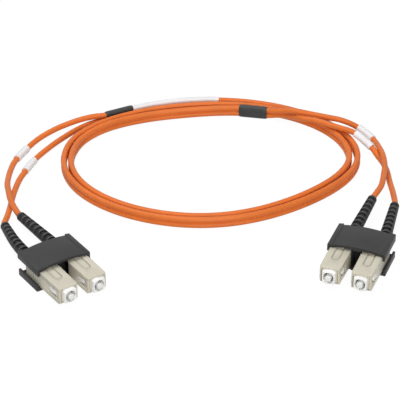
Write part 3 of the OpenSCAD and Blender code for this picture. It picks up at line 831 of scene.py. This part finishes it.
class PATCHCORD_OT_strands(bpy.types.Operator):
    """Lays the two strands from boot to boot, with the web that joins them in the coil"""
    bl_idname = "patchcord.strands"
    bl_label = "Strands"

    def execute(self, context):
        settings = context.scene.patch_cord
        for level, name in (("upper", "inner"), ("lower", "outer")):
            self.add_strand(settings, level, name)
        self.add_web(settings)
        return {"FINISHED"}

    def coil_angles(self, step):
        end = SPLIT_2_T[0] - 720
        return spaced(SPLIT_1_T, end, math.ceil((SPLIT_1_T - end) / step))

    def route(self, level, name, height):
        """Every point that the strand passes through, from the left boot to the right one."""
        (a, b), (c, d) = split_ends()
        at_split = SPLIT_HEIGHT[level] * MM
        halfway = (at_split + height) / 2
        first = [Vector((p.x, p.y, z)) for p, z in ((a, at_split), (a.lerp(b, 0.5), halfway))]
        second = [Vector((p.x, p.y, z)) for p, z in ((c.lerp(d, 0.5), halfway), (d, at_split))]
        left = [Vector(p) * MM for p in reversed(ROUTE["left_" + name])]
        right = [Vector(p) * MM for p in ROUTE["right_" + name]]
        coil = [coil_point(t, lane_of(t), height / MM) for t in self.coil_angles(step=6)]
        left_boot = boot_line("left_" + name, STRAND_STATIONS)
        right_boot = boot_line("right_" + name, reversed(STRAND_STATIONS))
        return left_boot + left + first + coil + second + right + right_boot

    def add_strand(self, settings, level, name):
        height = getattr(settings, level + "_height")
        line = through(self.route(level, name, height), settings.point_step)
        curve = line_curve(level + "_strand", line)
        curve.bevel_depth = settings.strand_diameter / 2
        curve.bevel_resolution = STRAND_ROUNDNESS
        curve.use_fill_caps = True
        strand = new_piece(level + "_strand", curve, "jacket")
        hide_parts("left_" + name + "_lead", "right_" + name + "_lead", "coiled_cord")
        strand["strand_length"] = sum((q - p).length for p, q in zip(line, line[1:]))
        strand["strand_exit"] = list(line[0])

    def add_web(self, settings):
        middle = (settings.lower_height + settings.upper_height) / 2
        half_w, half_h = settings.web_width / 2, WEB_HEIGHT / 2 * MM
        section = [(-half_w, -half_h), (half_w, -half_h), (half_w, half_h), (-half_w, half_h)]
        line = [coil_point(t, lane_of(t), middle / MM) for t in self.coil_angles(step=3)]
        swept_piece("strand_web", line, [section] * len(line), "jacket")


class PATCHCORD_OT_split_sleeves(bpy.types.Operator):
    """Shrinks a sleeve over the cord where its two strands part"""
    bl_idname = "patchcord.split_sleeves"
    bl_label = "Split Sleeves"

    def execute(self, context):
        settings = context.scene.patch_cord
        for side, (start, end) in zip(PAIRS, split_ends()):
            self.add_sleeve(settings, side, start, end)
        return {"FINISHED"}

    def add_sleeve(self, settings, side, start, end):
        """The ends draw in a little over the strands, and the middle swells unevenly."""
        line, sections = [], []
        height = settings.sleeve_height / 2 + SLEEVE_LIFT * MM
        for x in spaced(0, 1, SLEEVE_STEPS):
            draw_in = SLEEVE_END + (1 - SLEEVE_END) * ease(min(x, 1 - x) / SLEEVE_TIP)
            swell = 1 + SWELL * math.sin(SWELL_RATE * x + SWELL_START[side])
            point = start.lerp(end, x)
            line.append(Vector((point.x, point.y, height)))
            width = settings.sleeve_width * draw_in * swell
            sections.append(oblong_section(width, settings.sleeve_height * draw_in, sides=28, power=3.2))
        piece = swept_piece(side + "_shrunk_sleeve", line, sections, "split_sleeve", smooth_below=50)
        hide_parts(side + "_split_sleeve")


class PATCHCORD_OT_labels(bpy.types.Operator):
    """Wraps the blank paper labels round the cord and round each strand"""
    bl_idname = "patchcord.labels"
    bl_label = "Labels"

    def execute(self, context):
        settings = context.scene.patch_cord
        self.add_wrap()
        for name in CONNECTORS:
            self.add_lead_label(settings, name)
        return {"FINISHED"}

    def add_wrap(self):
        """The long label: paper folded square round both strands."""
        line = [coil_point(t, WRAP_OUT, WRAP_HEIGHT) for t in spaced(*WRAP_T, WRAP_STEPS)]
        section = oblong_section(*WRAP_SECTION, sides=32, power=4.5)
        piece = swept_piece("long_wrap_label", line, [section] * len(line), "label", smooth_below=50)
        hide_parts("wrap_label")

    def add_lead_label(self, settings, name):
        """Paper rolled once round and lapped on itself, with the lap's edge on the side."""
        at = LABEL_AT[name]
        route = [Vector(p) * MM for p in ROUTE[name]]
        middle = (route[at] + route[at + 1]) / 2
        near = through(route[at - 1:at + 3], LABEL_STEP * MM)
        line = [p for p in near if (p - middle).length < settings.label_length / 2]
        inner = settings.label_radius - PAPER * MM
        climb = [PAPER * MM * min(1.0, k / (LABEL_SIDES * LAP_PART)) for k in range(LABEL_SIDES)]
        section = [polar(inner + lap, LAP_START + a) for lap, a in zip(climb, turns(LABEL_SIDES))]
        piece = swept_piece(name + "_paper_label", line, [section] * len(line), "label", smooth_below=30)
        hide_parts(name + "_lead_label")


class PATCHCORD_OT_boots(bpy.types.Operator):
    """Makes the tapering boots: a core with two side spines, and ribs set along it"""
    bl_idname = "patchcord.boots"
    bl_label = "Boots"

    def execute(self, context):
        settings = context.scene.patch_boot
        tree = self.rib_tree()
        rib = self.rib_form(settings)
        for name in CONNECTORS:
            self.add_boot(settings, name, tree, rib)
        bpy.data.objects.remove(rib)
        return {"FINISHED"}

    def rib_span(self, settings):
        """The middles of the first and the last rib, along the boot in metres."""
        first = (BOOT_COLLAR_END + RIB_MARGINS[0]) * MM + settings.rib_length / 2
        last = (BOOT_END - RIB_MARGINS[1]) * MM - settings.rib_length / 2
        return first, last

    def radii_at(self, settings, s):
        """The ribs' outer radius and the core's at s along the boot, all in metres."""
        first, last = self.rib_span(settings)
        x = clamped((s - first) / (last - first))
        outer = settings.first_radius + (settings.last_radius - settings.first_radius) * x
        return outer, outer - settings.first_slot - (settings.last_slot - settings.first_slot) * x

    def rib_form(self, settings):
        """One rib as a ring round Z, at the first rib's radius."""
        half, r = settings.rib_length / 2, settings.first_radius
        foot = r - settings.first_slot - RIB_FOOT * MM
        edge = RIB_ROUND * MM
        inset = 0.3 * edge
        outline = [
            (foot, -half), (r - edge, -half), (r - inset, -half + inset), (r, -half + edge),
            (r, half - edge), (r - inset, half - inset), (r - edge, half), (foot, half)]
        bm = bmesh.new()
        # This layer weights the painted highlight: 1 on the rib's rounded top, falling to 0 down its
        # rounding.
        crest = bm.verts.layers.float.new("crest")
        rings = []
        for a in turns(ROUND_SIDES):
            rings.append([bm.verts.new((*polar(p, a), z)) for p, z in outline])
            for vertex, (p, z) in zip(rings[-1], outline):
                vertex[crest] = max(0.0, 1 - 2 * (r - p) / edge)
        for a, b in zip(rings, rings[1:] + rings[:1]):
            for j in range(len(outline)):
                n = (j + 1) % len(outline)
                bm.faces.new((a[j], b[j], b[n], a[n]))
        return add_object("rib_form", mesh_from(bm, "rib_form"))

    def rib_tree(self):
        """Sets ribs along a line, turned with it, each a little smaller than the one before."""
        tree = bpy.data.node_groups.new("Ribs Along A Line", "GeometryNodeTree")
        tree.interface.new_socket("Geometry", in_out="OUTPUT", socket_type="NodeSocketGeometry")
        inputs = {"Line": "Geometry", "Count": "Int", "Rib": "Object", "Last Scale": "Float"}
        for title, kind in inputs.items():
            tree.interface.new_socket(title, in_out="INPUT", socket_type="NodeSocket" + kind)

        def add(kind, inputs, **settings):
            return add_node(tree, kind, inputs, **settings).outputs

        given = add("NodeGroupInput", {})
        points = add(
            "GeometryNodeCurveToPoints", {"Curve": given["Line"], "Count": given["Count"]}, mode="COUNT")
        rib = add("GeometryNodeObjectInfo", {"Object": given["Rib"]})
        index = add("GeometryNodeInputIndex", {})
        last = add("ShaderNodeMath", {0: given["Count"], 1: 1}, operation="SUBTRACT")
        size = add("ShaderNodeMapRange", {
            "Value": index[0], "From Max": last[0], "To Min": 1, "To Max": given["Last Scale"]})
        scale = add("ShaderNodeCombineXYZ", {"X": size["Result"], "Y": size["Result"], "Z": 1})
        placed = add("GeometryNodeInstanceOnPoints", {
            "Points": points["Points"], "Rotation": points["Rotation"], "Instance": rib["Geometry"],
            "Scale": scale[0]})
        real = add("GeometryNodeRealizeInstances", {0: placed[0]})
        add("NodeGroupOutput", {0: real[0]})
        return tree

    def ribs(self, settings, name, tree, rib):
        """The ribs of one boot, as a plain mesh in the whole part's frame."""
        first, last = self.rib_span(settings)
        line = boot_line(name, [s / MM for s in spaced(first, last, RIB_LINE_STEPS)])
        holder = add_object("rib_line", line_curve("rib_line", line))
        modifier = holder.modifiers.new("Ribs", "NODES")
        modifier.node_group = tree
        values = {
            "Count": settings.rib_count, "Rib": rib,
            "Last Scale": settings.last_radius / settings.first_radius}
        for item in tree.interface.items_tree:
            if item.in_out == "INPUT" and item.name in values:
                modifier[item.identifier] = values[item.name]
        holder.update_tag()
        bpy.context.view_layer.update()
        made = evaluated_mesh(holder)
        bpy.data.objects.remove(holder)
        return made

    def add_boot(self, settings, name, tree, rib):
        bm = bmesh.new()
        ribs = self.ribs(settings, name, tree, rib)
        bm.from_mesh(ribs)
        bpy.data.meshes.remove(ribs)
        self.add_core(bm, settings, name)
        self.add_spines(bm, settings, name)
        title = name + "_ribbed_boot"
        piece = new_piece(title, mesh_from(bm, title, smooth_below=38), "boot")
        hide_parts(name + "_boot")

    def add_core(self, bm, settings, name):
        """Outside from the collar to the tail, then the bore back from the tail."""
        collar = settings.first_radius
        front, rear = COLLAR_CHAMFERS
        profile = [
            (BOOT_START, collar - front * MM), (BOOT_START + front, collar),
            (BOOT_COLLAR_END - rear, collar), (BOOT_COLLAR_END, collar - rear * MM)]
        for i in range(1, BOOT_STEPS + 1):
            behind = (BOOT_END - BOOT_COLLAR_END - TAIL_CHAMFER[0]) * i / BOOT_STEPS
            s = BOOT_COLLAR_END + COLLAR_GAP + behind
            profile.append((s, self.radii_at(settings, s * MM)[1]))
        profile += [
            (BOOT_END, profile[-1][1] - TAIL_CHAMFER[1] * MM),
            (BOOT_END + TAIL_GAP, BOOT_BORE * MM), (BOOT_END - BORE_LENGTH, BOOT_BORE * MM)]
        circles = [[polar(r, a) for a in turns(ROUND_SIDES)] for s, r in profile]
        places = [boot_place(s, name) for s, r in profile]
        join_rings(bm, [ring_at(bm, *place, circle) for place, circle in zip(places, circles)])

    def add_spines(self, bm, settings, name):
        """Two rails along the sides, almost as high as the ribs, which join them."""
        begin, end = BOOT_COLLAR_END - SPINE_INSIDE, self.rib_span(settings)[1] / MM
        stations = spaced(begin, end, BOOT_STEPS)
        line = boot_line(name, stations)
        for side in (0, math.pi):
            arc = [side + settings.spine_angle * x for x in spaced(-1, 1, SPINE_POINTS - 1)]
            sections = []
            for s in stations:
                rib, core = self.radii_at(settings, s * MM)
                r, low = rib - SPINE_BELOW * MM, core - SPINE_FOOT * MM
                sections.append([polar(r, a) for a in arc] + [polar(low, a) for a in reversed(arc)])
            sweep(bm, line, sections)


class PATCHCORD_OT_mouldings(bpy.types.Operator):
    """Rounds the edges of the housings, plug frames and clips, and gives them their plastics"""
    bl_idname = "patchcord.mouldings"
    bl_label = "Mouldings"

    def execute(self, context):
        width = context.scene.patch_finish.edge_bevel
        for name in CONNECTORS:
            place = plug_matrix(name)
            softened(
                name + "_housing", "housing", width, place, cuts=FRONT_CUTS, move=self.round_the_front,
                blocks=self.both_sides(MOUTH_BLOCKS), settle=self.taper)
            softened(
                name + "_plug_frame", "plug_frame", width, place, cuts=NOSE_CUTS,
                move=self.draw_in_the_nose, blocks=self.both_sides([SLOT_PAD]))
        for side in PAIRS:
            softened(side + "_clip", "clip", width * CLIP_BEVEL, pair_matrix(side), hollow=CLIP_RECESS)
        return {"FINISHED"}

    def both_sides(self, blocks):
        """Each block, given for the side at +X, and its mirror image."""
        return blocks + [((-high[0], *low[1:]), (-low[0], *high[1:])) for low, high in blocks]

    def round_the_front(self, x, y, z):
        """Draws in the corners at the front of a housing."""
        if y < FRONT_END:
            if abs(x) > FRONT_SIDE:
                x -= math.copysign(FRONT_IN, x)
            if z < FRONT_FLOOR:
                z += FRONT_UP
        return x, y, z

    def taper(self, x, y, z):
        """Draws in the sides of a housing a little toward the front."""
        weight = clamped((abs(x) - DRAFT_SIDE) / DRAFT_FADE)
        return x - math.copysign(DRAFT * (DRAFT_FROM - y) * weight, x), y, z

    def draw_in_the_nose(self, x, y, z):
        """Narrows the plug frame in front of its latch recesses, with the mouth in it."""
        narrow = clamped((NOSE_END - y) / NOSE_FADE)
        across = abs(x)
        if across < NOSE_CORE:
            drawn, level = NOSE_SCALE * across, z
        else:
            drawn, level = NOSE_WALL + (across - NOSE_CORE) * NOSE_WALL_SCALE, NOSE_SCALE * z
        return math.copysign(across + (drawn - across) * narrow, x), y, z + (level - z) * narrow


class PATCHCORD_OT_inner_parts(bpy.types.Operator):
    """Gives the ferrules, springs, rings and crimps their ceramic and metals"""
    bl_idname = "patchcord.inner_parts"
    bl_label = "Inner Parts"

    def execute(self, context):
        for name in CONNECTORS:
            for node in ("ferrule", "flange", "stop_ring", "crimp_sleeve", "buffered_fiber"):
                paint(frame["nodes"][name + "_" + node].data, node)
            self.add_spring(name)
        return {"FINISHED"}

    def add_spring(self, name):
        """A copy of the spring's mesh stands for it, in the spring finish."""
        mesh = frame["nodes"][name + "_spring"].data.copy()
        piece = new_piece(name + "_coil_spring", mesh, "spring")
        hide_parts(name + "_spring")
        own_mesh(piece)


class PATCHCORD_OT_declare(bpy.types.Operator):
    """Does nothing; the strands, sleeves and labels are left as the other steps made them"""
    bl_idname = "patchcord.declare"
    bl_label = "Declare Cords"

    def execute(self, context):
        return {"FINISHED"}


class PATCHCORD_PT_panel(bpy.types.Panel):
    bl_label = "Patch Cord"
    bl_idname = "PATCHCORD_PT_panel"
    bl_space_type = "VIEW_3D"
    bl_region_type = "UI"
    bl_category = "Patch Cord"

    def draw(self, context):
        for name, group in GROUPS.items():
            for key in group.__annotations__:
                self.layout.prop(getattr(context.scene, name), key)
        for operator in OPERATORS:
            self.layout.operator(operator.bl_idname)


OPERATORS = (
    PATCHCORD_OT_stage,
    PATCHCORD_OT_strands,
    PATCHCORD_OT_split_sleeves,
    PATCHCORD_OT_labels,
    PATCHCORD_OT_boots,
    PATCHCORD_OT_mouldings,
    PATCHCORD_OT_inner_parts,
    PATCHCORD_OT_declare,
)
GROUPS = {
    "patch_cord": CordSettings,
    "patch_boot": BootSettings,
    "patch_finish": FinishSettings,
    "patch_stage": StageSettings,
}


def register():
    for name, group in GROUPS.items():
        bpy.utils.register_class(group)
        setattr(bpy.types.Scene, name, PointerProperty(type=group))
    for cls in (*OPERATORS, PATCHCORD_PT_panel):
        bpy.utils.register_class(cls)


def unregister():
    for cls in (PATCHCORD_PT_panel, *reversed(OPERATORS)):
        bpy.utils.unregister_class(cls)
    for name, group in GROUPS.items():
        delattr(bpy.types.Scene, name)
        bpy.utils.unregister_class(group)


def main():
    register()
    for operator in OPERATORS:
        group, name = operator.bl_idname.split(".")
        getattr(getattr(bpy.ops, group), name)()


if __name__ == "__main__":
    main()
